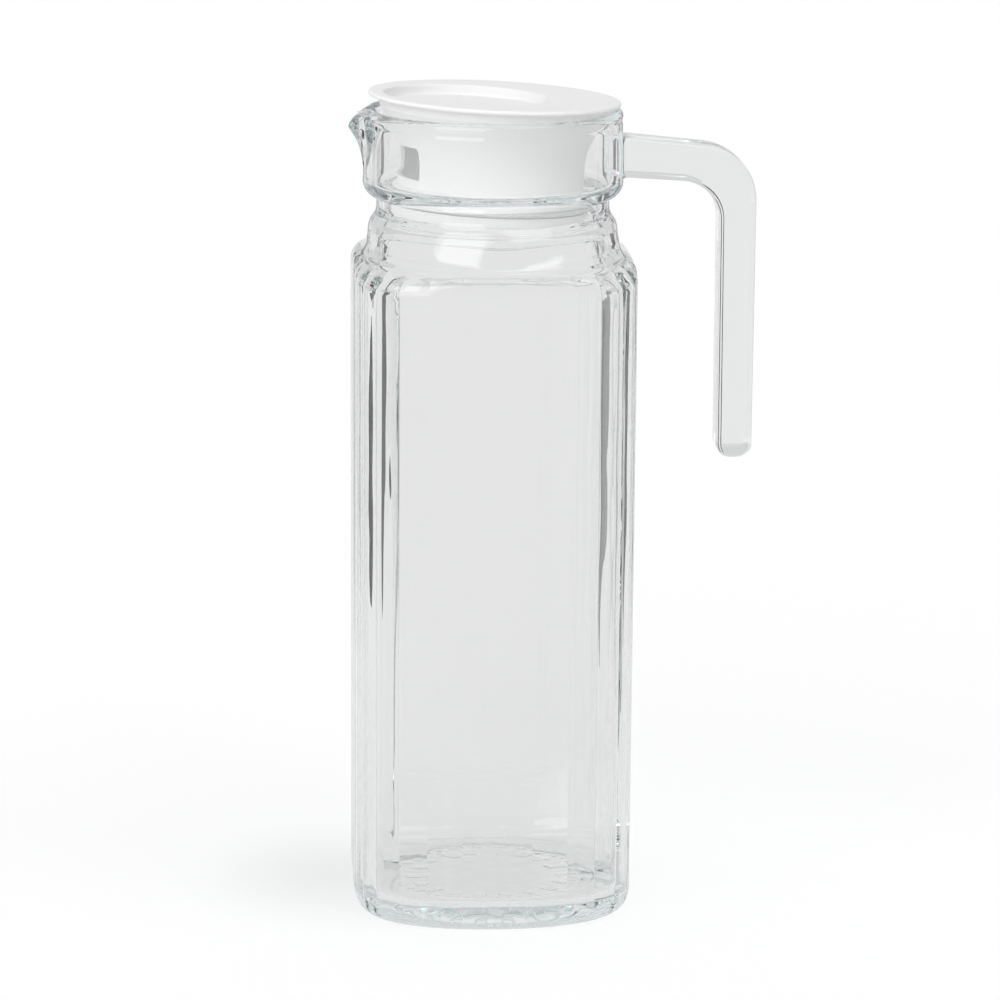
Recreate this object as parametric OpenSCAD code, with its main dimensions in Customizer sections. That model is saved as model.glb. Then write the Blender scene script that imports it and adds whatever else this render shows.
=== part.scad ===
// Refrigerator water jug of pressed glass with a plastic plug lid.
// Millimetres, Z up. The origin is the middle of the base, on the axis of the neck.
// The pouring lip points along -X and the handle along +X.

/* [Body] */
// Width across the flats, measured over the ridges between the panels
body_w = 84.8; // [82:0.2:87]
// Squareness of the body's section: 2 is a circle, higher is squarer
squareness = 4.4; // [4:0.1:6]
// Thickness of the glass wall
wall = 3.3; // [2.6:0.1:3.8]
// Thickness of the glass floor, above the resting face
floor_t = 6; // [4:0.5:8]
// Width of one upright panel in the middle of a face
panel_w = 10.7; // [10:0.1:11]
// How far a panel on a face bulges over its chord
face_bulge = 0.2; // [0:0.05:0.4]
// How far a panel at a corner bulges over its chord
corner_bulge = 0.8; // [0:0.05:0.8]
// Height of the rounded heel below the panels
heel_h = 9; // [5:0.5:10]
// How far the resting face is set in from the wall
heel_in = 2.8; // [2:0.2:5]
// Depth of the hollow under the base
base_hollow = 1.2; // [0.6:0.2:2]

/* [Shoulder and neck] */
// Height at which the straight panelled wall ends
wall_top_z = 197; // [150:1:198]
// Height of the narrowest part of the neck
neck_z = 216; // [214:1:217]
// Outer radius of the neck at its narrowest
neck_r = 35.2; // [34.8:0.1:35.6]
// Radius of the bore through the neck
neck_bore_r = 32.2; // [32.2:0.1:32.6]

/* [Collar and lip] */
// Outer radius of the collar
collar_r = 39.3; // [39:0.1:40]
// Inner radius of the collar above the ledge
collar_bore_r = 35.5; // [35.5:0.1:36]
// Height of the ledge inside the collar
ledge_z = 223; // [222:0.5:224]
// Height of the rim
rim_z = 245.7; // [245:0.1:246]
// Reach of the pouring lip from the axis
lip_reach = 43.6; // [42.5:0.1:46]
// Radius of the lip's round nose, seen from above
lip_nose_r = 5; // [4.5:0.5:7]

/* [Handle] */
// Reach of the grip's outer face from the axis
grip_reach = 79.3; // [76:0.1:84]
// Width of the grip at the elbow, seen from the side
grip_w = 11.1; // [10:0.1:13]
// How much narrower the grip is at its tip
grip_taper = 0.3; // [0:0.1:1]
// Thickness of the handle from front to back
grip_t = 13; // [11:0.5:15]
// Radius of the rounded edges along the handle
edge_r = 1.6; // [1:0.2:4]
// Height of the grip's free lower tip
grip_tip_z = 138; // [120:0.1:160]
// Height of the arm's top where it leaves the collar
arm_top_z = 237.4; // [236.5:0.1:238.5]
// Height of the arm's underside where it leaves the collar
arm_under_z = 225.1; // [224.4:0.1:226]

/* [Lid] */
// Radius of the lid's disc
disc_r = 38; // [37:0.1:38.4]
// Thickness of the disc
disc_t = 1.4; // [1.2:0.1:1.8]
// Radius of the round recess on top
recess_r = 24.5; // [18:0.5:24.5]
// Distance of the recess's centre from the lid's axis
recess_off = 9.2; // [6:0.2:9.2]
// Depth of the recess
recess_d = 3; // [1:0.2:3]
// Outer radius of the skirt beside the pouring window
skirt_r = 28.1; // [27.5:0.1:28.5]
// Thickness of the skirt and of the recess's floor
lid_wall = 1.2; // [1:0.1:1.2]
// Width of the pouring window
window_w = 24.5; // [16:0.5:28]
// Height of the pouring window
window_h = 9.6; // [6:0.2:10]
// Lean of the lid, which stands proud on the lip's side
lid_lean = 2.7; // [0:0.1:2.7]
// Direction of the lean: 0 leaves the lid proud just over the lip, more takes that to the near side
lean_turn = 15; // [0:1:30]
// Turn of the lid about its own axis, which takes the window to the lip's near side
lid_turn = 13; // [-180:1:180]

/* [Sealing ring] */
// Outer radius of the ring at its fins
ring_r = 30.8; // [30.4:0.1:30.8]
// Height of the ring
ring_h = 3.8; // [3.4:0.1:4]
// Radial running gap between the ring and its groove
ring_gap = 0.05; // [0.02:0.01:0.1]

/* [Hidden] */
$fn = 96;
glass_tint = [0.84, 0.92, 0.91, 0.5];
half_w = body_w / 2;
panel_steps = 4;

// The turned neck and collar start here, just under the neck's narrowest part.
joint_z = neck_z - 1.5;

// ---- Curves and solids -------------------------------------------------------------------------

// Distance from the axis to a superellipse of half width w and exponent n, in direction a.
function squircle(w, n, a) = w / pow(pow(abs(cos(a)), n) + pow(abs(sin(a)), n), 1 / n);

// The point of that superellipse in direction a.
function squircle_point(w, n, a) = squircle(w, n, a) * [cos(a), sin(a)];

// Points of an arc about c from angle a to angle b.
function arc(c, r, a, b, n = 6) =
    [for (i = [0:n]) let (t = a + (b - a) * i / n) c + r * [cos(t), sin(t)]];

// A closed solid through a stack of rings that have equal numbers of points.
module skin(rings) {
    n = len(rings[0]);
    last = len(rings) - 1;
    sides = [for (k = [0:last - 1]) for (i = [0:n - 1]) let (j = (i + 1) % n)
        [k * n + i, (k + 1) * n + i, (k + 1) * n + j, k * n + j]];
    ends = [[for (i = [0:n - 1]) i], [for (i = [n - 1:-1:0]) last * n + i]];
    polyhedron(points = [for (ring = rings) for (p = ring) p], faces = concat(sides, ends), convexity = 4);
}

// ---- Glass body --------------------------------------------------------------------------------

// Directions of the ridges between the upright panels. Three panels share half a face, the third a
// little narrower, and one more reaches the corner. The eighth is then mirrored and turned to go
// round the body.
ridge_places = [0, panel_w, 2 * panel_w, 2.92 * panel_w];
eighth = concat([for (x = ridge_places) atan(x / half_w)], [45]);
quarter = concat(eighth, [for (i = [len(eighth) - 2:-1:1]) 90 - eighth[i]]);
ridges = concat([for (q = [0:3]) for (a = quarter) a + 90 * q], [360]);

// One point of the panelled wall, a share t of the way along panel i.
function panel_point(i, t) =
    let (a = ridges[i], b = ridges[i + 1], middle = (a + b) / 2)
    let (from = squircle_point(half_w, squareness, a), to = squircle_point(half_w, squareness, b))
    let (bulge = face_bulge + (corner_bulge - face_bulge) * pow(sin(2 * middle), 4))
    let (across = (to - from) / norm(to - from), out = [across[1], -across[0]])
    from + (to - from) * t + out * bulge * 4 * t * (1 - t);

wall_points = [for (i = [0:len(ridges) - 2]) for (j = [0:panel_steps - 1]) panel_point(i, j / panel_steps)];

// A ring of the outside at height z. The panels are cut into a plain body of half width w and
// exponent n, and show where they lie inside it.
function cut_ring(z, w, n) =
    [for (p = wall_points) let (plain = squircle_point(w, n, atan2(p[1], p[0])))
        concat(norm(p) < norm(plain) ? p : plain, z)];

function plain_ring(z, w, n, count = 72) =
    [for (i = [0:count - 1]) concat(squircle_point(w, n, 360 * i / count), z)];

// The plain body over the shoulder, from the top of the straight wall at 0 to the neck at 1: height,
// half width as a share of the body's, and exponent of the section.
shoulder = [
    [0.03, 1.006, 4.4],
    [0.09, 1.002, 4.2],
    [0.16, 0.996, 3.9],
    [0.20, 0.990, 3.6],
    [0.24, 0.980, 3.4],
    [0.28, 0.962, 3.1],
    [0.32, 0.940, 2.9],
    [0.38, 0.920, 2.7],
    [0.46, 0.904, 2.4],
    [0.60, 0.894, 2.1],
    [0.76, 0.887, 2.0],
    [0.86, 0.875, 2.0],
    [0.93, 0.857, 2.0],
    [1.00, 0.834, 2.0]
];

module outside() {
    heel_roundness = 2.3;
    proud = 0.3;
    heel = [for (a = [0:15:90])
        cut_ring(heel_h * (1 - cos(a)), half_w + proud - (heel_in + proud) * (1 - sin(a)),
            squareness - heel_roundness * (1 - sin(a)))];
    rise = joint_z - wall_top_z;
    over = [for (s = shoulder)
        cut_ring(wall_top_z + rise * s[0], half_w * s[1], min(squareness, s[2]))];
    skin(concat(heel, over));
}

// The space inside, from the glass floor up to the neck.
module hollow() {
    inner = half_w - wall;
    foot_r = 6;
    rise = joint_z - wall_top_z;
    foot = [for (a = [0:22.5:90])
        plain_ring(floor_t + foot_r * (1 - cos(a)), inner - foot_r * (1 - sin(a)), squareness)];
    up = [plain_ring(wall_top_z - 2, inner, squareness)];
    over = [for (k = [1:len(shoulder) - 2]) let (s = shoulder[k])
        plain_ring(wall_top_z - 2 + rise * s[0], half_w * min(1, s[1]) - wall, min(squareness, s[2]))];
    top = [
        plain_ring(joint_z - 0.8, neck_bore_r + 0.4, 2),
        plain_ring(joint_z + 0.5, neck_bore_r + 0.3, 2)
    ];
    skin(concat(foot, up, over, top));
}

// The neck and the collar as one turned ring, with a bead round the rim and a ledge inside.
module collar_ring() {
    corner_r = 5;
    bead_r = 1.9;
    rotate_extrude()
        polygon(concat(
            [[neck_bore_r, joint_z], [neck_r + 0.3, joint_z], [neck_r, neck_z], [neck_r, neck_z + 2]],
            arc([collar_r - corner_r, ledge_z + 1], corner_r, -80, 0),
            [[collar_r - 0.4, rim_z - 3.6]],
            arc([collar_r - 0.3 - bead_r, rim_z - bead_r], bead_r, 0, 90),
            arc([collar_bore_r + 1, rim_z - 1], 1, 90, 180, 3),
            arc([collar_bore_r - 1.5, ledge_z + 1.5], 1.5, 0, -90, 3),
            [[neck_bore_r, ledge_z - 0.6]]
        ));
}

// Plan of the lip on the -X side: a round nose whose cheeks run straight back and touch a circle of
// radius big_r about the axis.
module lip_plan(big_r, nose_r) {
    nose_x = lip_reach - lip_nose_r;
    touch = acos((big_r - nose_r) / nose_x);
    polygon(concat(
        arc([-nose_x, 0], nose_r, 180 - touch, 180 + touch, 8),
        [big_r * [-cos(touch), -sin(touch)], [-big_r / 2, 0], big_r * [-cos(touch), sin(touch)]]
    ));
}

// The lip seen from the side: it leaves the collar at foot_z and curls out to reach, under a round
// nose. The corner that closes the outline is inside the collar.
module lip_side(from_r, reach, foot_z, nose_r) {
    nose_z = rim_z - 1.4 - nose_r;
    sweep = [for (u = [0:0.125:1])
        [-from_r - (reach - from_r) * pow(u, 2.4), foot_z + (nose_z - foot_z) * u]];
    rotate([90, 0, 0])
        linear_extrude(2 * from_r, center = true)
            polygon(concat(sweep, arc([nose_r - reach, nose_z], nose_r, 180, 90),
                [[-from_r + 2, rim_z], [-from_r + 2, foot_z]]));
}

module lip() {
    translate([0, 0, ledge_z])
        linear_extrude(rim_z - ledge_z)
            lip_plan(collar_r, lip_nose_r);
}

// The channel that leads from the collar's bore out over the lip.
module lip_channel() {
    lip_wall = 3.2;
    nose_r = lip_nose_r - lip_wall;
    intersection() {
        translate([0, 0, ledge_z + 2])
            linear_extrude(rim_z - ledge_z)
                lip_plan(collar_bore_r - 0.2, nose_r);
        rotate([90, 0, 0])
            linear_extrude(2 * collar_r, center = true)
                polygon(concat(
                    [for (u = [0:0.125:1])
                        [-collar_bore_r + 1 - (lip_reach - lip_wall - collar_bore_r + 1) * pow(u, 2),
                            ledge_z + 4 + (rim_z - ledge_z - 4) * u]],
                    [[-lip_reach + lip_wall, rim_z + 1], [-collar_bore_r / 2, rim_z + 1],
                        [-collar_bore_r / 2, ledge_z + 4]]
                ));
    }
}

module glass_jug() {
    hollow_r = 31;
    color(glass_tint) {
        difference() {
            union() {
                outside();
                collar_ring();
                difference() {
                    intersection() {
                        lip();
                        lip_side(collar_r - 0.2, lip_reach, ledge_z + 2, 3.6);
                    }
                    cylinder(r = collar_bore_r + 1, h = rim_z + 1);
                }
            }
            hollow();
            lip_channel();
            translate([0, 0, -1])
                cylinder(r = hollow_r, h = 1 + base_hollow);
        }
    }
}

// ---- Glass handle ------------------------------------------------------------------------------

// One ring of the bar, a rectangle with rounded corners between an inner and an outer point of its
// side view. depth scales its thickness from front to back.
function bar_ring(inner, outer, depth = 1) =
    let (middle = (inner + outer) / 2, half_l = norm(outer - inner) / 2, half_t = depth * grip_t / 2)
    let (along = (outer - inner) / (2 * half_l), r = min(edge_r, 0.8 * half_l, 0.8 * half_t))
    [for (side = [[1, 1], [-1, 1], [-1, -1], [1, -1]]) for (k = [0:4])
        let (start = side[0] * side[1] > 0 ? (side[0] > 0 ? 0 : 180) : (side[0] > 0 ? 270 : 90))
        let (u = side[0] * (half_l - r) + r * cos(start + 22.5 * k))
        let (v = side[1] * (half_t - r) + r * sin(start + 22.5 * k))
            [middle[0] + along[0] * u, v, middle[1] + along[1] * u]];

module glass_handle() {
    outer_r = 17;
    inner_r = 12;
    root_x = collar_r - 1.4;
    inner_x = grip_reach - grip_w;
    tip_r = (grip_w - grip_taper) / 2;
    fall = 5;
    slope = 0.057;
    outer_c = [grip_reach - outer_r, arm_top_z - (grip_reach - root_x) * slope - outer_r];
    inner_c = [inner_x - inner_r, arm_under_z - 1 - inner_r];
    elbow_out = arc(outer_c, outer_r, 90 - fall, 0, 8);
    elbow_in = arc(inner_c, inner_r, 90 - fall / 2, 0, 8);
    tip_c = [grip_reach - tip_r, grip_tip_z + tip_r];
    flare_l = 2.4;
    flare_h = 0.7;
    root_depth = 1.08;
    tip_depth = 0.1;
    root = [
        bar_ring([root_x, arm_under_z - flare_h], [root_x, arm_top_z + flare_h], root_depth),
        bar_ring([root_x + flare_l, arm_under_z], [root_x + flare_l, arm_top_z])
    ];
    elbow = [for (k = [0:8]) bar_ring(elbow_in[k], elbow_out[k])];
    grip = [bar_ring(tip_c - [tip_r, 0], tip_c + [tip_r, 0])];
    tip = [for (a = [22.5, 45, 67.5, 82])
        bar_ring(tip_c - tip_r * [cos(a), sin(a)], tip_c + tip_r * [cos(a), -sin(a)],
            tip_depth + (1 - tip_depth) * cos(a))];
    color(glass_tint)
        skin(concat(root, elbow, grip, tip));
}

// ---- Lid ---------------------------------------------------------------------------------------

// Depths below the disc's middle plane: where the flare ends, the window's upper edge, the step out
// to the wider foot, the ring's groove and the skirt's lower edge.
flare_d = 20.8;
window_d = 14.1;
step_d = 26.3;
groove_d = 27.8;
groove_h = 4.2;
skirt_d = 35.6;
groove_r = 28.7;
foot_bore_r = 27.3;
foot_r = 29.7;
mouth_r = 34.5;
lid_gap = 0.5;
lid_shift = 0.4;

// Outline of the skirt from the disc down to the step, drawn in by inset.
function flare(inset) = concat(
    [[mouth_r - inset, 0]],
    [for (u = [0:0.125:1])
        [skirt_r - inset + (mouth_r - skirt_r) * pow(1 - u, 2), -3.4 - (flare_d - 3.4) * u]]
);

// Takes the lid's own frame, with the middle of its disc at the origin, to its place in the mouth.
// On the handle's side the disc stands lid_gap over the rim.
module in_mouth() {
    seat_z = rim_z + disc_t / 2 + disc_r * sin(lid_lean) + lid_gap;
    translate([lid_shift, 0, seat_z])
        rotate([0, 0, lean_turn])
            rotate([0, lid_lean, 0])
                rotate([0, 0, lid_turn - lean_turn])
                    children();
}

module lid() {
    color("white")
        in_mouth()
            difference() {
                union() {
                    lid_shell();
                    intersection() {
                        translate([-recess_off, 0, disc_t / 2 - recess_d - lid_wall])
                            cylinder(r = recess_r + lid_wall, h = recess_d + lid_wall);
                        cylinder(r = mouth_r, h = 4 * recess_d, center = true);
                    }
                }
                translate([-recess_off, 0, disc_t / 2 - recess_d])
                    cylinder(r = recess_r, h = recess_d + 1);
            }
}

// The disc and its skirt, with the groove for the sealing ring and the pouring window.
module lid_shell() {
    difference() {
        rotate_extrude()
            polygon(concat(
                [[0, -disc_t / 2], [0, disc_t / 2]],
                arc([disc_r - disc_t / 2, 0], disc_t / 2, 90, -90, 8),
                [[mouth_r, -disc_t / 2]],
                [for (i = [1:len(flare(0)) - 1]) flare(0)[i]],
                [[skirt_r, -step_d], [foot_r, -step_d - 0.7], [foot_r, -groove_d], [groove_r, -groove_d],
                    [groove_r, -groove_d - groove_h], [foot_r, -groove_d - groove_h],
                    [foot_r, 0.6 - skirt_d], [foot_r - 0.6, -skirt_d], [foot_bore_r, -skirt_d],
                    [foot_bore_r, -step_d - 0.7]],
                [for (i = [len(flare(0)) - 1:-1:1]) flare(lid_wall)[i]],
                [[mouth_r - lid_wall, -disc_t / 2]]
            ));
        translate([-skirt_r, 0, -window_d - window_h / 2])
            cube([skirt_r, window_w, window_h], center = true);
    }
}

// ---- Sealing ring ------------------------------------------------------------------------------

// A soft ring with two fins, which sits in the groove round the foot of the skirt.
module lid_seal() {
    bore_r = groove_r + ring_gap;
    valley_r = ring_r - 0.8;
    low = -groove_d - (groove_h + ring_h) / 2;
    color("whitesmoke")
        in_mouth()
            rotate_extrude()
                polygon([
                    [bore_r, low], [valley_r, low], [ring_r, low + 0.6], [ring_r, low + 1.2],
                    [valley_r, low + 1.6], [valley_r, low + ring_h - 1.6], [ring_r, low + ring_h - 1.2],
                    [ring_r, low + ring_h - 0.6], [valley_r, low + ring_h], [bore_r, low + ring_h]
                ]);
}

glass_jug();
glass_handle();
lid();
lid_seal();
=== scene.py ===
import math

import bmesh
import bpy
from mathutils import Matrix, Vector


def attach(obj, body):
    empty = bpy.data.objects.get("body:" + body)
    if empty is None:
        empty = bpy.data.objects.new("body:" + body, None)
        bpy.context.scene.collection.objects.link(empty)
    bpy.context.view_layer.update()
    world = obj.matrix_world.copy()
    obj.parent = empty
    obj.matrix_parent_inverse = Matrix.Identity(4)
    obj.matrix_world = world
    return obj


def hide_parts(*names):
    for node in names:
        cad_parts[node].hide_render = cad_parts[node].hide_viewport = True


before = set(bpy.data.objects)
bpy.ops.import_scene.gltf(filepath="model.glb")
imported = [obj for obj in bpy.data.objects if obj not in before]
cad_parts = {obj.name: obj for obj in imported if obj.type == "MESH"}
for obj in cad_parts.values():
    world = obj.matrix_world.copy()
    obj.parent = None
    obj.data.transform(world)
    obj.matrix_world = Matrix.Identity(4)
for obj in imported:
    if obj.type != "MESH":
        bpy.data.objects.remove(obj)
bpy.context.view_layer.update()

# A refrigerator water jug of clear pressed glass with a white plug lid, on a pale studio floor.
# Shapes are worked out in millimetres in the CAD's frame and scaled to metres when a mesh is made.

MM = 0.001

# ---- Camera ---------------------------------------------------------------------------------

CAMERA_YAW = 3.78
CAMERA_PITCH = 13.25
CAMERA_ROLL = 0.41
CAMERA_DISTANCE = 1241.4
CAMERA_HEIGHT = 417.1
CAMERA_SIDESTEP = 2.8
SENSOR_WIDTH = 36.0
LENS = 149.8
CLIP_START = 0.05
CLIP_END = 100.0


def add_camera():
    """A long lens, a little above the jug, that sees its front with the handle on the right."""
    data = bpy.data.cameras.new("camera")
    data.sensor_width = SENSOR_WIDTH
    data.lens = LENS
    data.clip_start = CLIP_START
    data.clip_end = CLIP_END
    camera = bpy.data.objects.new("camera", data)
    bpy.context.scene.collection.objects.link(camera)
    yaw = math.radians(CAMERA_YAW)
    right = Vector((math.cos(yaw), -math.sin(yaw), 0.0))
    away = Vector((math.sin(yaw), math.cos(yaw), 0.0))
    place = right * CAMERA_SIDESTEP - away * CAMERA_DISTANCE + Vector((0, 0, CAMERA_HEIGHT))
    turn = Matrix.Rotation(-yaw, 4, "Z")
    tilt = Matrix.Rotation(math.radians(90.0 - CAMERA_PITCH), 4, "X")
    roll = Matrix.Rotation(math.radians(CAMERA_ROLL), 4, "Z")
    camera.matrix_world = Matrix.Translation(place * MM) @ turn @ tilt @ roll
    bpy.context.scene.camera = camera


# ---- Mesh helpers ---------------------------------------------------------------------------

WELD = 1e-7
SOFT_EDGE = 35.0
LID_EDGE = 30.0
SEAL_EDGE = 50.0


def smooth(mesh, sharp_angle):
    """Shades a mesh smooth and keeps its edges crisp where they turn by more than an angle."""
    mesh.shade_smooth()
    mesh.set_sharp_from_angle(angle=math.radians(sharp_angle))


def make_object(name, verts, faces, sharp_angle=SOFT_EDGE):
    """A smooth-shaded object from points in millimetres and faces. A closed one is turned outward."""
    mesh = bpy.data.meshes.new(name)
    mesh.from_pydata([Vector(v) * MM for v in verts], [], faces)
    mesh.update()
    clean = bmesh.new()
    clean.from_mesh(mesh)
    bmesh.ops.remove_doubles(clean, verts=clean.verts, dist=WELD)
    if clean.calc_volume(signed=True) < 0:
        bmesh.ops.reverse_faces(clean, faces=clean.faces)
    clean.to_mesh(mesh)
    clean.free()
    smooth(mesh, sharp_angle)
    obj = bpy.data.objects.new(name, mesh)
    bpy.context.scene.collection.objects.link(obj)
    return obj


def skin(rings, closed_ends=True):
    """Points and quads of a stack of rings with equal counts. closed_ends caps both ends."""
    count = len(rings[0])
    verts = [p for ring in rings for p in ring]
    faces = []
    for k in range(len(rings) - 1):
        for i in range(count):
            j = (i + 1) % count
            faces.append((k * count + i, k * count + j, (k + 1) * count + j, (k + 1) * count + i))
    if closed_ends:
        faces.append(tuple(range(count - 1, -1, -1)))
        last = (len(rings) - 1) * count
        faces.append(tuple(range(last, last + count)))
    return verts, faces


def boolean(obj, other, operation, sharp_angle):
    """Applies a boolean with another closed mesh, which is then deleted, and shades the result."""
    modifier = obj.modifiers.new("cut", "BOOLEAN")
    modifier.object = other
    modifier.operation = operation
    modifier.solver = "MANIFOLD"
    graph = bpy.context.evaluated_depsgraph_get()
    mesh = bpy.data.meshes.new_from_object(obj.evaluated_get(graph))
    obj.modifiers.clear()
    obj.data = mesh
    bpy.data.objects.remove(other)
    smooth(mesh, sharp_angle)


def arc(cx, cy, r, start, end, steps):
    """Points of an arc, angles in degrees."""
    points = []
    for i in range(steps + 1):
        a = math.radians(start + (end - start) * i / steps)
        points.append((cx + r * math.cos(a), cy + r * math.sin(a)))
    return points


def smoothstep(x):
    """Eases from 0 to 1 while x goes from 0 to 1."""
    x = min(1.0, max(0.0, x))
    return x * x * (3.0 - 2.0 * x)


def curve_through(knots, x):
    """A smooth monotone curve through (x, y) knots, by cubic Hermite pieces."""
    if x <= knots[0][0]:
        return knots[0][1]
    if x >= knots[-1][0]:
        return knots[-1][1]
    slopes = [(b[1] - a[1]) / (b[0] - a[0]) for a, b in zip(knots, knots[1:])]
    tangents = [slopes[0]]
    for before, after in zip(slopes, slopes[1:]):
        tangents.append(0.0 if before * after <= 0 else 2 * before * after / (before + after))
    tangents.append(slopes[-1])
    i = 0
    while x > knots[i + 1][0]:
        i += 1
    x0, y0 = knots[i]
    x1, y1 = knots[i + 1]
    h = x1 - x0
    t = (x - x0) / h
    return (
        y0 * (2 * t**3 - 3 * t**2 + 1)
        + tangents[i] * h * (t**3 - 2 * t**2 + t)
        + y1 * (3 * t**2 - 2 * t**3)
        + tangents[i + 1] * h * (t**3 - t**2)
    )


# ---- Sizes, as in the CAD ---------------------------------------------------------------------

HALF_W = 42.4
SQUARENESS = 4.4
WALL = 3.3
FLOOR = 6.0
FLOOR_CORNER_R = 6.0
PANEL_W = 10.7
# Ridges between the panels, from the middle of a face, in panel widths.
RIDGES = (0.0, 1.0, 2.0, 2.92)
FACE_BULGE = 0.20
CORNER_BULGE = 0.8
HEEL_H = 9.0
HEEL_IN = 2.8
HEEL_PROUD = 0.3
HEEL_ROUNDNESS = 2.3
HOLLOW_R = 31.0
HOLLOW_D = 1.2
WALL_TOP = 197.0
NECK_Z = 216.0
NECK_R = 35.2
NECK_BORE = 32.2
JOINT_Z = NECK_Z - 1.5
COLLAR_R = 39.3
COLLAR_BORE = 35.5
LEDGE_Z = 223.0
RIM_Z = 245.7
LIP_REACH = 43.6
LIP_NOSE_R = 5.0
GRIP_REACH = 79.3
GRIP_W = 11.1
GRIP_TAPER = 0.3
GRIP_T = 13.0
EDGE_R = 1.6
GRIP_TIP_Z = 138.0
ARM_TOP_Z = 237.4
ARM_UNDER_Z = 225.1

# Share of the way up the shoulder, the plain body's half width beside HALF_W, and its exponent.
SHOULDER = [
    (0.00, 1.0075, 4.4),
    (0.03, 1.006, 4.4),
    (0.09, 1.002, 4.2),
    (0.16, 0.996, 3.9),
    (0.20, 0.990, 3.6),
    (0.24, 0.980, 3.4),
    (0.28, 0.962, 3.1),
    (0.32, 0.940, 2.9),
    (0.38, 0.920, 2.7),
    (0.46, 0.904, 2.4),
    (0.60, 0.894, 2.1),
    (0.76, 0.887, 2.0),
    (0.86, 0.875, 2.0),
    (0.93, 0.857, 2.0),
    (1.00, 0.834, 2.0),
]

# ---- Finer shape of the glass, only here --------------------------------------------------------

FACE_ARCH = 0.3
CORNER_ARCH = 1.6
ARCH_FADE_FROM = 0.05
ARCH_FADE_OVER = 0.25
RIDGE_BLEND = 0.15
LIP_FALL = 1.3
BEAD_GROOVE = 0.25
RELIEF_H = 0.15
RELIEF_SLOPE = 0.5
BAR_COUNT = 18
BAR_IN_R = 20.0
BAR_OUT_R = 26.0
BAR_GAP = 0.1
DOT_COUNT = 54
DOT_RING_R = 28.2
DOT_GAP = 0.2
DOT_HALF = 0.6
DOT_REACH = 1.5

# ---- Glass body -------------------------------------------------------------------------------

ROUND_OFF = 1e-9


def squircle(w, n, angle):
    """Distance from the axis to a superellipse of half width w and exponent n."""
    c = abs(math.cos(angle))
    s = abs(math.sin(angle))
    return w / (c**n + s**n) ** (1.0 / n)


def ridge_angles():
    """Directions of the ridges between the upright panels, in radians, once round."""
    eighth = [math.atan(ridge * PANEL_W / HALF_W) for ridge in RIDGES] + [math.pi / 4]
    quarter = eighth + [math.pi / 2 - a for a in eighth[-2:0:-1]]
    return [a + q * math.pi / 2 for q in range(4) for a in quarter] + [2 * math.pi]


def panel_wall(per_panel):
    """Angles round the body, the panelled wall's distance from the axis and the arch's height."""
    ridges = ridge_angles()
    angles, radii, arches = [], [], []
    for a, b in zip(ridges, ridges[1:]):
        start = Vector((math.cos(a), math.sin(a))) * squircle(HALF_W, SQUARENESS, a)
        end = Vector((math.cos(b), math.sin(b))) * squircle(HALF_W, SQUARENESS, b)
        across = (end - start).normalized()
        out = Vector((across.y, -across.x))
        corner = math.sin(a + b) ** 4
        bulge = FACE_BULGE + (CORNER_BULGE - FACE_BULGE) * corner
        arch = FACE_ARCH + (CORNER_ARCH - FACE_ARCH) * corner
        for k in range(per_panel):
            # Points crowd at the ridges and along the middle of the panel.
            t = k / per_panel
            t = t - math.sin(4 * math.pi * t) / (8 * math.pi)
            p = start + (end - start) * t + out * bulge * 4 * t * (1 - t)
            angle = math.atan2(p.y, p.x)
            angles.append(angle if angle >= -ROUND_OFF else angle + 2 * math.pi)
            radii.append(p.length)
            arches.append(arch * (2 * t - 1) ** 2)
    return angles, radii, arches


PER_PANEL = 20
ANGLES, WALL_RADII, ARCHES = panel_wall(PER_PANEL)


def ring_at(radii, z):
    """A level ring from the distance to the axis in each of the directions."""
    return [(r * math.cos(angle), r * math.sin(angle), z) for r, angle in zip(radii, ANGLES)]


def soft_min(a, b):
    """The smaller of two lengths, rounded where they meet."""
    h = max(0.0, 1.0 - abs(a - b) / RIDGE_BLEND)
    return min(a, b) - h * h * RIDGE_BLEND / 4


def cut_ring(z, w, n):
    """A ring of the outside: the panels are cut into a plain body of half width w."""
    return ring_at([soft_min(wall, squircle(w, n, a)) for a, wall in zip(ANGLES, WALL_RADII)], z)


def plain_ring(z, w, n=2.0):
    """A ring of a plain superellipse, which is a circle unless an exponent is given."""
    return ring_at([squircle(w, n, a) for a in ANGLES], z)


def lip_radius(big_r, nose_r, reach, angle):
    """Plan of the lip: a round nose whose straight cheeks touch a circle about the axis."""
    off = abs(math.atan2(math.sin(angle - math.pi), math.cos(angle - math.pi)))
    nose_x = reach - nose_r
    if nose_x + nose_r <= big_r or nose_x <= big_r - nose_r:
        return big_r
    touch = math.acos((big_r - nose_r) / nose_x)
    if off >= touch:
        return big_r
    # On the cheek, the line at distance big_r from the axis along its normal; on the nose, a circle.
    cheek = big_r / math.cos(touch - off)
    cheek_point = Vector((math.cos(off), math.sin(off))) * cheek
    tangent = Vector((-math.sin(touch), math.cos(touch)))
    normal = Vector((math.cos(touch), math.sin(touch)))
    nose_end = Vector((nose_x, 0.0)) + normal * nose_r
    if (cheek_point - nose_end).dot(tangent) >= 0:
        return cheek
    along = nose_x * math.cos(off)
    aside = nose_x * math.sin(off)
    return along + math.sqrt(max(0.0, nose_r**2 - aside**2))


def lipped_ring(z, big_r, nose_r, reach):
    """A ring of the collar at height z, drawn out into the lip as far as reach."""
    ring = []
    up = max(0.0, (z - LEDGE_Z) / (RIM_Z - LEDGE_Z))
    for angle in ANGLES:
        r = lip_radius(big_r, nose_r, reach, angle)
        fall = LIP_FALL * up**2 * smoothstep((r - big_r) / (LIP_REACH - COLLAR_R))
        ring.append((r * math.cos(angle), r * math.sin(angle), z - fall))
    return ring


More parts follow.
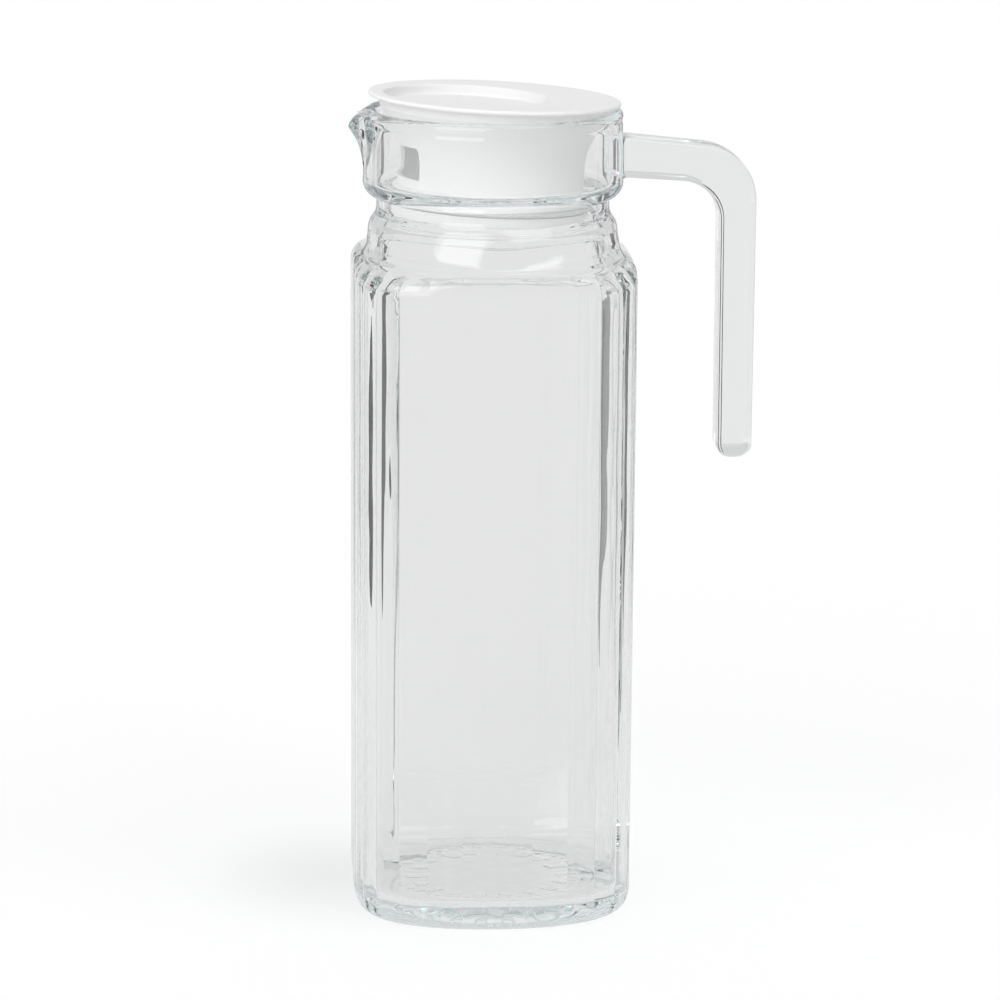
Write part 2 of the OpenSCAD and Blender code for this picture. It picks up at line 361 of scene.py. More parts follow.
def shoulder_at(share):
    """Half width and exponent of the plain body at a share of the way up the shoulder."""
    w = curve_through([(s[0], s[1]) for s in SHOULDER], share)
    n = curve_through([(s[0], s[2]) for s in SHOULDER], share)
    return HALF_W * w, min(SQUARENESS, n)


def base_relief(r, angle):
    """Height of the plain ornament moulded under the base: a wreath of bars and a ring of dots."""
    bar = smoothstep((math.cos(BAR_COUNT * angle) - BAR_GAP) / RELIEF_SLOPE)
    bar *= smoothstep(r - BAR_IN_R) * smoothstep(BAR_OUT_R - r)
    dot = smoothstep((math.cos(DOT_COUNT * angle) - DOT_GAP) / RELIEF_SLOPE)
    dot *= smoothstep(DOT_REACH - abs(r - DOT_RING_R) / DOT_HALF)
    return RELIEF_H * max(bar, dot)


def underside_rings():
    """The shallow hollow with its ornament, and the flat face round it that the jug rests on."""
    plain_radii = [0.6, 6, 12, 17]
    relief_from = 17.5
    relief_step = 0.35
    relief_count = 34
    rings = []
    for r in plain_radii + [relief_from + relief_step * k for k in range(relief_count)]:
        ring = []
        for angle in ANGLES:
            z = HOLLOW_D - base_relief(r, angle)
            ring.append((r * math.cos(angle), r * math.sin(angle), z))
        rings.append(ring)
    edge_in = HOLLOW_R - 1.6
    edge_out = HOLLOW_R + 1.4
    edge_steps = 12
    for k in range(1, edge_steps + 1):
        t = k / edge_steps
        rings.append(plain_ring(HOLLOW_D * (1 - smoothstep(t)), edge_in + (edge_out - edge_in) * t))
    rest_w = HALF_W - HEEL_IN - 0.4
    rest_n = SQUARENESS - HEEL_ROUNDNESS
    for share in (0.35, 0.7, 0.9):
        radii = [edge_out + (squircle(rest_w, rest_n, a) - edge_out) * share for a in ANGLES]
        rings.append(ring_at(radii, 0.0))
    return rings


def heel_and_wall_rings():
    """The rounded heel, which is less square than the wall, and the panelled wall above it."""
    heel_steps = 26
    rings = []
    for k in range(heel_steps + 1):
        a = math.pi / 2 * k / heel_steps
        rise = 1 - math.cos(a)
        out = 1 - math.sin(a)
        w = HALF_W + HEEL_PROUD - (HEEL_IN + HEEL_PROUD) * out
        rings.append(cut_ring(HEEL_H * rise, w, SQUARENESS - HEEL_ROUNDNESS * out))
    for z in (12, 20, 40, 70, 100, 130, 160, 180, 190, 194):
        rings.append(cut_ring(z, HALF_W + HEEL_PROUD, SQUARENESS))
    return rings


def shoulder_rings():
    """The shoulder. Each panel ends in an arch, because the body turns in lower at the ridges."""
    rise = JOINT_Z - WALL_TOP
    steps = 60
    rings = []
    for k in range(steps):
        share = k / steps
        fade = 1.0 - smoothstep((share - ARCH_FADE_FROM) / ARCH_FADE_OVER)
        radii = []
        for angle, wall, arch in zip(ANGLES, WALL_RADII, ARCHES):
            w, n = shoulder_at(min(1.0, share + arch * fade / rise))
            radii.append(soft_min(wall, squircle(w, n, angle)))
        rings.append(ring_at(radii, WALL_TOP + rise * share))
    return rings


def collar_rings():
    """The neck, the collar's rounded foot and its wall with the lip, and the bead round the rim."""
    neck_flare = 0.25
    foot_r = 5.0
    foot_z = LEDGE_Z + 1
    rings = [
        plain_ring(JOINT_Z, NECK_R + neck_flare),
        plain_ring(NECK_Z, NECK_R),
        plain_ring(NECK_Z + 1, NECK_R),
    ]
    rings += [plain_ring(z, x) for x, z in arc(COLLAR_R - foot_r, foot_z, foot_r, -80, 0, 14)]
    wall_foot = LEDGE_Z + 2
    wall_top = RIM_Z - 3.6
    wall_steps = 36
    foot_inset = 0.1
    top_r = COLLAR_R - 0.3
    outline = []
    for k in range(1, wall_steps + 1):
        u = k / wall_steps
        x = COLLAR_R - foot_inset + (top_r - COLLAR_R) * u
        outline.append((x, wall_foot + (wall_top - wall_foot) * u))
    bead_r = 1.9
    outline += arc(top_r - bead_r, RIM_Z - bead_r, bead_r, -10, 90, 12)
    lip_round = 3.6
    lip_round_z = RIM_Z - 1.4 - lip_round
    lip_from = COLLAR_R - 0.2
    lip_curve = 2.4
    groove_z = RIM_Z - 3.4
    groove_half = 0.6
    for x, z in outline:
        u = min(1.0, (z - wall_foot) / (lip_round_z - wall_foot))
        reach = lip_from + (LIP_REACH - lip_from) * u**lip_curve
        over = max(0.0, z - lip_round_z) / lip_round
        if over > 0:
            reach = LIP_REACH - lip_round * (1 - math.sqrt(max(0.0, 1 - min(1.0, over) ** 2)))
            reach -= max(0.0, top_r - x)
        x -= BEAD_GROOVE * math.exp(-((z - groove_z) / groove_half) ** 2)
        rings.append(lipped_ring(z, x, LIP_NOSE_R, max(x, reach)))
    return rings


def mouth_rings():
    """The inside of the collar with the pouring channel, the ledge and the neck, going down."""
    lip_wall = 3.2
    nose_r = LIP_NOSE_R - lip_wall
    mouth_reach = LIP_REACH - lip_wall
    rim_r = 1.0
    rim_spread = 0.6
    channel_top = RIM_Z - rim_r
    channel_foot = LEDGE_Z + 4
    ledge_r = 1.5
    neck_r = 0.8
    neck_edge_z = LEDGE_Z - 1.2
    rings = []
    for x, z in arc(COLLAR_BORE + rim_r, RIM_Z - rim_r, rim_r, 90, 180, 5):
        rings.append(lipped_ring(z, x, nose_r, mouth_reach + (x - COLLAR_BORE) * rim_spread))
    steps = 16
    for k in range(1, steps + 1):
        z = channel_top - (channel_top - LEDGE_Z - ledge_r) * k / steps
        u = max(0.0, (z - channel_foot) / (RIM_Z - channel_foot))
        reach = COLLAR_BORE - 1 + (mouth_reach - COLLAR_BORE + 1) * u**2
        rings.append(lipped_ring(z, COLLAR_BORE, nose_r, reach))
    for x, z in arc(COLLAR_BORE - ledge_r, LEDGE_Z + ledge_r, ledge_r, 0, -90, 6)[1:]:
        rings.append(plain_ring(z, x))
    for x, z in arc(NECK_BORE + neck_r, neck_edge_z, neck_r, 90, 180, 5):
        rings.append(plain_ring(z, x))
    draft_from = 220
    draft = 0.02
    for z in (220, 218, 216, 215):
        rings.append(plain_ring(z, NECK_BORE + draft * (draft_from - z)))
    return rings


def cavity_rings():
    """The inside of the shoulder and the wall, and the floor with its rounded corner."""
    rise = JOINT_Z - WALL_TOP
    inner = HALF_W - WALL
    drop = 2
    neck_from = 0.93
    neck_inner = NECK_BORE + 0.2
    steps = 30
    rings = []
    for k in range(steps, -1, -1):
        share = k / steps
        w, n = shoulder_at(share)
        w = min(w, HALF_W) - WALL
        if share > neck_from:
            w = max(w, neck_inner)
        rings.append(plain_ring(WALL_TOP - drop + rise * share, w, n))
    for z in (190, 180, 160, 130, 100, 70, 40, 24, 16):
        rings.append(plain_ring(z, inner, SQUARENESS))
    corner_steps = 12
    for k in range(corner_steps, -1, -1):
        a = math.pi / 2 * k / corner_steps
        w = inner - FLOOR_CORNER_R * (1 - math.sin(a))
        rings.append(plain_ring(FLOOR + FLOOR_CORNER_R * (1 - math.cos(a)), w, SQUARENESS))
    for share, n in ((0.9, 4.2), (0.75, 3.6), (0.55, 3.0), (0.35, 2.4), (0.15, 2.0), (0.02, 2.0)):
        rings.append(plain_ring(FLOOR, (inner - FLOOR_CORNER_R) * share, n))
    return rings


def build_jug():
    """The hollow body in one closed skin: from under the base up to the rim and down inside."""
    outside = underside_rings() + heel_and_wall_rings() + shoulder_rings() + collar_rings()
    verts, faces = skin(outside + mouth_rings() + cavity_rings())
    return make_object("jug_glass", verts, faces)


# ---- Glass handle -----------------------------------------------------------------------------

BAR_CORNER_STEPS = 8
BAR_FLAT_STEPS = 6
# The rounding of the bar's edges is at most this share of its half thickness.
EDGE_SHARE = 0.8


def bar_ring(inner, outer, depth=1.0):
    """One ring of the handle's bar, a rounded rectangle between two points of its side view."""
    middle = (Vector(inner) + Vector(outer)) / 2
    half_l = (Vector(outer) - Vector(inner)).length / 2
    half_t = depth * GRIP_T / 2
    along = (Vector(outer) - Vector(inner)) / (2 * half_l)
    r = min(EDGE_R, EDGE_SHARE * half_l, EDGE_SHARE * half_t)
    corners = []
    for su, sv, start in ((1, 1, 0), (-1, 1, 90), (-1, -1, 180), (1, -1, 270)):
        corners.append(arc(su * (half_l - r), sv * (half_t - r), r, start, start + 90, BAR_CORNER_STEPS))
    outline = []
    for corner, following in zip(corners, corners[1:] + corners[:1]):
        outline += corner
        u0, v0 = corner[-1]
        u1, v1 = following[0]
        for k in range(1, BAR_FLAT_STEPS):
            t = k / BAR_FLAT_STEPS
            outline.append((u0 + (u1 - u0) * t, v0 + (v1 - v0) * t))
    return [(middle.x + along.x * u, v, middle.y + along.y * u) for u, v in outline]


def build_handle():
    """The bar: out level from the collar, round the elbow and down to a free round tip."""
    outer_r = 17.0
    inner_r = 12.0
    fall = 5.0
    slope = 0.057
    flare_l = 2.4
    flare_h = 0.7
    flare_depth = 0.08
    root_depth = 1.4
    under_fall = 1.0
    root_x = COLLAR_R - root_depth
    inner_x = GRIP_REACH - GRIP_W
    tip_r = (GRIP_W - GRIP_TAPER) / 2
    tip_sweep = 86
    tip_depth = 0.1
    flare_steps = 6
    arm_steps = 8
    elbow_steps = 32
    grip_steps = 12
    tip_steps = 16
    outer_c = (GRIP_REACH - outer_r, ARM_TOP_Z - (GRIP_REACH - root_x) * slope - outer_r)
    inner_c = (inner_x - inner_r, ARM_UNDER_Z - under_fall - inner_r)
    elbow_out = arc(*outer_c, outer_r, 90 - fall, 0, elbow_steps)
    elbow_in = arc(*inner_c, inner_r, 90 - fall / 2, 0, elbow_steps)
    rings = []
    for k in range(flare_steps + 1):
        t = k / flare_steps
        spread = (1 - t) ** 2
        x = root_x + flare_l * t
        low = (x, ARM_UNDER_Z - flare_h * spread)
        high = (x, ARM_TOP_Z + flare_h * spread)
        rings.append(bar_ring(low, high, 1 + flare_depth * spread))
    start_in = Vector((root_x + flare_l, ARM_UNDER_Z))
    start_out = Vector((root_x + flare_l, ARM_TOP_Z))
    for k in range(1, arm_steps):
        t = k / arm_steps
        rings.append(bar_ring(start_in.lerp(elbow_in[0], t), start_out.lerp(elbow_out[0], t)))
    for a, b in zip(elbow_in, elbow_out):
        rings.append(bar_ring(a, b))
    tip_c = Vector((GRIP_REACH - tip_r, GRIP_TIP_Z + tip_r))
    tip_in = tip_c - Vector((tip_r, 0))
    tip_out = tip_c + Vector((tip_r, 0))
    end_in = Vector(elbow_in[-1])
    end_out = Vector(elbow_out[-1])
    for k in range(1, grip_steps):
        t = k / grip_steps
        rings.append(bar_ring(end_in.lerp(tip_in, t), end_out.lerp(tip_out, t)))
    for k in range(tip_steps + 1):
        a = math.radians(tip_sweep * k / tip_steps)
        half = Vector((tip_r * math.cos(a), 0))
        low = tip_c - Vector((0, tip_r * math.sin(a)))
        rings.append(bar_ring(low - half, low + half, tip_depth + (1 - tip_depth) * math.cos(a)))
    verts, faces = skin(rings)
    return make_object("handle_glass", verts, faces)


# ---- Lid --------------------------------------------------------------------------------------

DISC_R = 38.0
DISC_T = 1.4
RECESS_R = 24.5
RECESS_OFF = 9.2
RECESS_D = 3.0
RECESS_FOOT_R = 1.0
BRIM_R = 0.5
UNDER_R = 0.6
UNDER_GAP = 0.1
SKIRT_R = 28.1
LID_WALL = 1.2
WINDOW_W = 24.5
WINDOW_H = 9.6
WINDOW_CORNER_R = 0.8
LID_LEAN = 2.7
LEAN_TURN = 15.0
LID_TURN = 13.0
RING_R = 30.8
RING_H = 3.8
RING_GAP = 0.05
BAND_D = 2.4
FLARE_TOP_D = 3.4
FLARE_D = 20.8
FLARE_STEPS = 16
WINDOW_D = 14.1
STEP_D = 26.3
GROOVE_D = 27.8
GROOVE_H = 4.2
SKIRT_D = 35.6
GROOVE_R = 28.7
FOOT_BORE_R = 27.3
FOOT_R = 29.7
MOUTH_R = 34.5
LID_GAP = 0.5
LID_SHIFT = 0.4
LID_POINTS = 192

# Radius and height of the skirt's foot: a step out, the groove for the ring, the end and the bore.
LID_FOOT = [
    (SKIRT_R, -STEP_D + 0.6),
    (SKIRT_R + 0.2, -STEP_D),
    (FOOT_R - 0.3, -STEP_D - 0.5),
    (FOOT_R, -STEP_D - 0.8),
    (FOOT_R, -GROOVE_D + 0.1),
    (FOOT_R - 0.1, -GROOVE_D),
    (GROOVE_R, -GROOVE_D),
    (GROOVE_R, -GROOVE_D - GROOVE_H),
    (FOOT_R - 0.1, -GROOVE_D - GROOVE_H),
    (FOOT_R, -GROOVE_D - GROOVE_H - 0.1),
    (FOOT_R, 0.7 - SKIRT_D),
    (FOOT_R - 0.2, 0.2 - SKIRT_D),
    (FOOT_R - 0.7, -SKIRT_D),
    (FOOT_BORE_R + 0.3, -SKIRT_D),
    (FOOT_BORE_R, 0.3 - SKIRT_D),
    (FOOT_BORE_R, -STEP_D - 0.9),
    (FOOT_BORE_R - 0.1, -STEP_D - 0.6),
]


def in_mouth():
    """Takes the lid's own frame, with the middle of its disc at the origin, to its place in mm."""
    seat = RIM_Z + DISC_T / 2 + DISC_R * math.sin(math.radians(LID_LEAN)) + LID_GAP
    return (
        Matrix.Translation((LID_SHIFT, 0, seat))
        @ Matrix.Rotation(math.radians(LEAN_TURN), 4, "Z")
        @ Matrix.Rotation(math.radians(LID_LEAN), 4, "Y")
        @ Matrix.Rotation(math.radians(LID_TURN - LEAN_TURN), 4, "Z")
    )


def put_in_mouth(obj):
    """Moves a finished mesh, which is already in metres, from the lid's own frame to its place."""
    place = in_mouth()
    place.translation = place.translation * MM
    obj.data.transform(place)


def turned(profile, centre_x=0.0):
    """Rings of a turned profile of (radius, height)."""
    rings = []
    for r, z in profile:
        ring = []
        for i in range(LID_POINTS):
            a = 2 * math.pi * i / LID_POINTS
            ring.append((centre_x + r * math.cos(a), r * math.sin(a), z))
        rings.append(ring)
    return rings


def flare_profile(inset):
    """The skirt from its wide mouth down to where it's straight, set in by a wall's thickness."""
    points = []
    for k in range(FLARE_STEPS + 1):
        u = k / FLARE_STEPS
        r = SKIRT_R - inset + (MOUTH_R - SKIRT_R) * (1 - u) ** 2
        points.append((r, -FLARE_TOP_D - (FLARE_D - FLARE_TOP_D) * u))
    return points


def lid_top_rings():
    """The floor of the recess, its wall and brim, the top round it and the disc's rounded edge."""
    top = DISC_T / 2
    floor_z = top - RECESS_D
    brim_out = RECESS_R + BRIM_R
    recess = [(r, floor_z) for r in (1.0, 8.0, 16.0, 21.0)]
    recess += arc(RECESS_R - RECESS_FOOT_R, floor_z + RECESS_FOOT_R, RECESS_FOOT_R, 270, 360, 6)
    recess += arc(brim_out, top - BRIM_R, BRIM_R, 180, 90, 5)
    rings = turned(recess, -RECESS_OFF)
    for share in (0.2, 0.4, 0.6, 0.8):
        r = brim_out + (DISC_R - top - brim_out) * share
        rings += turned([(r, top)], -RECESS_OFF * (1 - share))
    return rings + turned(arc(DISC_R - top, 0, top, 90, -90, 12))


def lid_skirt_rings():
    """The underside of the disc, the outside of the skirt, its foot and back up inside."""
    top = DISC_T / 2
    profile = [(MOUTH_R + UNDER_R, -top)]
    profile += arc(MOUTH_R + UNDER_R, -top - UNDER_R, UNDER_R, 90, 180, 4)[1:]
    profile += [(MOUTH_R, -BAND_D)]
    profile += flare_profile(0.0)
    profile += LID_FOOT
    profile += reversed(flare_profile(LID_WALL))
    profile += [(MOUTH_R - LID_WALL, -BAND_D), (MOUTH_R - LID_WALL, -top - UNDER_GAP)]
    return turned(profile)


def lid_inside_rings():
    """The inside of the recess's wall, which hangs within the skirt, and the recess's underside."""
    top = DISC_T / 2
    under = top - RECESS_D - LID_WALL
    inner_r = RECESS_R + LID_WALL
    gap = 0.15
    draft = 0.4
    middle_share = 0.7
    shift = min(RECESS_OFF, MOUTH_R - LID_WALL - gap - inner_r)
    rings = turned([(inner_r, -top - UNDER_GAP), (inner_r - draft, under)], -shift)
    return rings + turned([(r, under) for r in (16.0, 8.0, 1.0)], -RECESS_OFF * middle_share)


def cut_window(lid):
    """Cuts the pouring window, with rounded corners, through the skirt on the lip's side."""
    side = WINDOW_W / 2 - WINDOW_CORNER_R
    rise = WINDOW_H / 2 - WINDOW_CORNER_R
    middle = -WINDOW_D - WINDOW_H / 2
    inside_x = -14.0
    outside_x = -42.0
    outline = []
    for su, sv, start in ((1, 1, 0), (-1, 1, 90), (-1, -1, 180), (1, -1, 270)):
        outline += arc(su * side, sv * rise, WINDOW_CORNER_R, start, start + 90, 6)
    near = [(inside_x, y, middle + z) for y, z in outline]
    far = [(outside_x, y, middle + z) for y, z in outline]
    verts, faces = skin([near, far])
    cutter = make_object("window_cutter", verts, faces)
    boolean(lid, cutter, "DIFFERENCE", LID_EDGE)


def build_lid():
    """One closed skin: over the recessed top, round the disc's edge, down the skirt and back."""
    verts, faces = skin(lid_top_rings() + lid_skirt_rings() + lid_inside_rings())
    lid = make_object("lid_shell", verts, faces, LID_EDGE)
    cut_window(lid)
    put_in_mouth(lid)
    return lid


def build_seal():
    """A soft ring with two rounded fins round the foot of the skirt."""
    bore = GROOVE_R + RING_GAP
    valley = RING_R - 0.8
    low = -GROOVE_D - (GROOVE_H + RING_H) / 2
    high = low + RING_H
    fin_r = 0.55
    fin_z = 0.85
    fin_h = 1.6
    bevel = 0.15
    profile = [(bore, low + bevel), (bore + bevel, low), (valley - 0.2, low)]
    profile += arc(RING_R - fin_r, low + fin_z, fin_r, -80, 80, 8)
    profile += [(valley, low + fin_h), (valley, high - fin_h)]
    profile += arc(RING_R - fin_r, high - fin_z, fin_r, -80, 80, 8)
    profile += [(valley - 0.2, high), (bore + bevel, high), (bore, high - bevel)]
    rings = turned(profile)
    verts, faces = skin(rings + [rings[0]], closed_ends=False)
    seal = make_object("lid_seal_ring", verts, faces, SEAL_EDGE)
    put_in_mouth(seal)
    return seal


# ---- Materials --------------------------------------------------------------------------------

GLASS_WHITE = (0.965, 0.967, 0.965, 1)
GLASS_IOR = 1.51
GLASS_CLEAR = (0.98, 0.983, 0.983, 1)
GLASS_TINT = (0.40, 0.92, 0.95, 1)
GLASS_TINT_DENSITY = 1.0
RIPPLE = 0.10
RIPPLE_SCALE = 60.0
RIPPLE_STRETCH = (1.0, 1.0, 0.2)
RIPPLE_HEIGHT = 0.001
LID_WHITE = (0.975, 0.98, 0.97)
LID_ROUGHNESS = 0.42
LID_GRAIN = 1600.0
SEAL_WHITE = (0.90, 0.905, 0.90)
SEAL_ROUGHNESS = 0.5
SEAL_GRAIN = 1200.0
PLASTIC_IOR = 1.5
PLASTIC_DEPTH = 0.008
PLASTIC_DEPTHS = (1.0, 0.9, 0.8)
PLASTIC_THROUGH = 0.45
FLOW_SCALE = 45.0
FLOW_TONE = 0.985
FLOW_MATT = 0.05
FLOW_GLOSS = 0.04
GRAIN = 0.06
GRAIN_HEIGHT = 0.0003


def new_material(name):
    """An empty node material with its output."""
    material = bpy.data.materials.new(name)
    material.use_nodes = True
    nodes = material.node_tree.nodes
    nodes.clear()
    output = nodes.new("ShaderNodeOutputMaterial")
    return material, nodes, material.node_tree.links, output


def glass_material(name):
    """Clear pressed glass with a faint blue-green body colour and slow upright ripples."""
    material, nodes, links, output = new_material(name)
    glass = nodes.new("ShaderNodeBsdfPrincipled")
    glass.inputs["Base Color"].default_value = GLASS_WHITE
    glass.inputs["Transmission Weight"].default_value = 1.0
    glass.inputs["IOR"].default_value = GLASS_IOR
    glass.inputs["Roughness"].default_value = 0.0
    place = nodes.new("ShaderNodeTexCoord")
    stretch = nodes.new("ShaderNodeMapping")
    stretch.inputs["Scale"].default_value = RIPPLE_STRETCH
    waves = nodes.new("ShaderNodeTexNoise")
    waves.inputs["Scale"].default_value = RIPPLE_SCALE
    waves.inputs["Detail"].default_value = 2.0
    bump = nodes.new("ShaderNodeBump")
    bump.inputs["Strength"].default_value = RIPPLE
    bump.inputs["Distance"].default_value = RIPPLE_HEIGHT
    links.new(place.outputs["Object"], stretch.inputs["Vector"])
    links.new(stretch.outputs["Vector"], waves.inputs["Vector"])
    links.new(waves.outputs["Fac"], bump.inputs["Height"])
    links.new(bump.outputs["Normal"], glass.inputs["Normal"])
    # Light on its way to the floor and the lid goes straight through.
    clear = nodes.new("ShaderNodeBsdfTransparent")
    clear.inputs["Color"].default_value = GLASS_CLEAR
    rays = nodes.new("ShaderNodeLightPath")
    shader = glass.outputs["BSDF"]
    for kind in ("Is Shadow Ray", "Is Diffuse Ray"):
        mix = nodes.new("ShaderNodeMixShader")
        links.new(rays.outputs[kind], mix.inputs["Fac"])
        links.new(shader, mix.inputs[1])
        links.new(clear.outputs["BSDF"], mix.inputs[2])
        shader = mix.outputs["Shader"]
    links.new(shader, output.inputs["Surface"])
    tint = nodes.new("ShaderNodeVolumeAbsorption")
    tint.inputs["Color"].default_value = GLASS_TINT
    tint.inputs["Density"].default_value = GLASS_TINT_DENSITY
    links.new(tint.outputs["Volume"], output.inputs["Volume"])
    return material


def plastic_material(name, colour, roughness, grain_scale):
    """Satin moulded polyethylene: light shines through it, with a fine grain and faint flow marks."""
    material, nodes, links, output = new_material(name)
    plastic = nodes.new("ShaderNodeBsdfPrincipled")
    plastic.inputs["IOR"].default_value = PLASTIC_IOR
    plastic.inputs["Subsurface Weight"].default_value = 1.0
    plastic.inputs["Subsurface Radius"].default_value = PLASTIC_DEPTHS
    plastic.inputs["Subsurface Scale"].default_value = PLASTIC_DEPTH
    place = nodes.new("ShaderNodeTexCoord")
    flow = nodes.new("ShaderNodeTexNoise")
    flow.inputs["Scale"].default_value = FLOW_SCALE
    flow.inputs["Detail"].default_value = 3.0
    tone = nodes.new("ShaderNodeMixRGB")
    tone.inputs["Color1"].default_value = (*[c * FLOW_TONE for c in colour], 1)
    tone.inputs["Color2"].default_value = (*colour, 1)
    gloss = nodes.new("ShaderNodeMapRange")
    gloss.inputs["To Min"].default_value = roughness - FLOW_GLOSS
    gloss.inputs["To Max"].default_value = roughness + FLOW_MATT
    grain = nodes.new("ShaderNodeTexNoise")
    grain.inputs["Scale"].default_value = grain_scale
    grain.inputs["Detail"].default_value = 2.0
    bump = nodes.new("ShaderNodeBump")
    bump.inputs["Strength"].default_value = GRAIN
    bump.inputs["Distance"].default_value = GRAIN_HEIGHT
    links.new(place.outputs["Object"], flow.inputs["Vector"])
    links.new(place.outputs["Object"], grain.inputs["Vector"])
    links.new(flow.outputs["Fac"], tone.inputs["Fac"])
    links.new(flow.outputs["Fac"], gloss.inputs["Value"])
    links.new(tone.outputs["Color"], plastic.inputs["Base Color"])
    links.new(gloss.outputs["Result"], plastic.inputs["Roughness"])
    links.new(grain.outputs["Fac"], bump.inputs["Height"])
    links.new(bump.outputs["Normal"], plastic.inputs["Normal"])
    through = nodes.new("ShaderNodeBsdfTranslucent")
    links.new(tone.outputs["Color"], through.inputs["Color"])
    both = nodes.new("ShaderNodeMixShader")
    both.inputs["Fac"].default_value = PLASTIC_THROUGH
    links.new(plastic.outputs["BSDF"], both.inputs[1])
    links.new(through.outputs["BSDF"], both.inputs[2])
    links.new(both.outputs["Shader"], output.inputs["Surface"])
    return material


def math_node(nodes, links, operation, first, second=None):
    """The result of a Math node. Each input is a socket to link or a number to set."""
    node = nodes.new("ShaderNodeMath")
    node.operation = operation
    for socket, value in zip(node.inputs, (first, second)):
        if isinstance(value, bpy.types.NodeSocket):
            links.new(value, socket)
        elif value is not None:
            socket.default_value = value
    return node.outputs["Value"]


# ---- Studio -----------------------------------------------------------------------------------

FLOOR_HALF = 12000.0
FLOOR_WHITE = 0.80
FLOOR_LIFT = 0.17
# A painted shadow on the floor beside the foot: its middle and reach in mm, and how much of the floor's
# lift it takes away.
PAINTED_SHADOW_AT = (-46.0, 14.0)
PAINTED_SHADOW_REACH = (58.0, 66.0)
PAINTED_SHADOW_DEPTH = 0.72
TENT_LIGHT = 0.84
SOFTBOXES = [
    # direction, half width and half height as tangents, light
    ((-0.52, -0.78, 0.42), 0.44, 0.76, 2.7),
    ((0.40, -0.36, 0.92), 0.30, 0.30, 2.2),
]
SOFTBOX_FADE = 0.85
AHEAD = 0.05
CARD_FOOT_Z = 1.0
CARD_HEIGHT = 240.0
CARD_TAPER_H = 55.0
CARD_FOOT = 0.15
CARD_STEPS = 6
CARDS = [
    # direction from straight behind the jug and width, in degrees, and distance
    (-55.5, 7.5, 320.0),
    (39.0, 7.0, 310.0),
    (-23.4, 3.4, 290.0),
    (24.6, 4.2, 270.0),
]
CARD_BLACK = 0.03


def add_floor():
    """A wide plain white floor, a little brighter when it's seen directly than through the glass.

    Beside the jug's foot, on the lip's side, it's less bright: a soft shadow is painted in there,
    standing in for the shade that the glass would cast.
    """
    far = FLOOR_HALF
    verts = [(-far, -far, 0), (far, -far, 0), (far, far, 0), (-far, far, 0)]
    floor = make_object("floor", verts, [(0, 1, 2, 3)])
    material, nodes, links, output = new_material("floor_white_painted_shadow")
    paint = nodes.new("ShaderNodeBsdfDiffuse")
    paint.inputs["Color"].default_value = (FLOOR_WHITE, FLOOR_WHITE, FLOOR_WHITE, 1)
    # The painted shadow: a soft round spot where the floor, seen directly, gets less of its lift.
    place = nodes.new("ShaderNodeTexCoord")
    painted_shadow_spot = nodes.new("ShaderNodeMapping")
    painted_shadow_spot.vector_type = "TEXTURE"
    painted_shadow_spot.inputs["Location"].default_value = (PAINTED_SHADOW_AT[0] * MM, PAINTED_SHADOW_AT[1] * MM, 0.0)
    painted_shadow_spot.inputs["Scale"].default_value = (PAINTED_SHADOW_REACH[0] * MM, PAINTED_SHADOW_REACH[1] * MM, 1.0)
    near = nodes.new("ShaderNodeTexGradient")
    near.gradient_type = "SPHERICAL"
    painted_shadow_fade = nodes.new("ShaderNodeMapRange")
    painted_shadow_fade.interpolation_type = "SMOOTHSTEP"
    painted_shadow_fade.inputs["To Min"].default_value = 1.0
    painted_shadow_fade.inputs["To Max"].default_value = 1.0 - PAINTED_SHADOW_DEPTH
    links.new(place.outputs["Object"], painted_shadow_spot.inputs["Vector"])
    links.new(painted_shadow_spot.outputs["Vector"], near.inputs["Vector"])
    links.new(near.outputs["Fac"], painted_shadow_fade.inputs["Value"])
    rays = nodes.new("ShaderNodeLightPath")
    seen = math_node(nodes, links, "MULTIPLY", rays.outputs["Is Camera Ray"], painted_shadow_fade.outputs["Result"])
    strength = math_node(nodes, links, "MULTIPLY", seen, FLOOR_LIFT)
    lift = nodes.new("ShaderNodeEmission")
    total = nodes.new("ShaderNodeAddShader")
    links.new(strength, lift.inputs["Strength"])
    links.new(paint.outputs["BSDF"], total.inputs[0])
    links.new(lift.outputs["Emission"], total.inputs[1])
    links.new(total.outputs["Shader"], output.inputs["Surface"])
    floor.data.materials.append(material)


def add_cards():
    """Narrow black cards near the jug that only its glass sees: they draw its edges dark."""
    verts, faces = [], []
    row = CARD_STEPS + 1
    for direction, width, distance in CARDS:
        start = len(verts)
        for z, share in ((CARD_FOOT_Z, CARD_FOOT), (CARD_TAPER_H, 1.0), (CARD_HEIGHT, 1.0)):
            for k in range(row):
                aside = width * share * (k / CARD_STEPS - 0.5)
                angle = math.radians(90 - direction + aside - CAMERA_YAW)
                verts.append((distance * math.cos(angle), distance * math.sin(angle), z))
        for low in (start, start + row):
            for i in range(low, low + CARD_STEPS):
                faces.append((i, i + 1, i + row + 1, i + row))
    cards = make_object("black_cards", verts, faces)
    material, nodes, links, output = new_material("card_black")
    cloth = nodes.new("ShaderNodeBsdfDiffuse")
    cloth.inputs["Color"].default_value = (CARD_BLACK, CARD_BLACK, CARD_BLACK, 1)
    links.new(cloth.outputs["BSDF"], output.inputs["Surface"])
    cards.data.materials.append(material)
    cards.visible_camera = False
    cards.visible_diffuse = False
    cards.visible_shadow = False


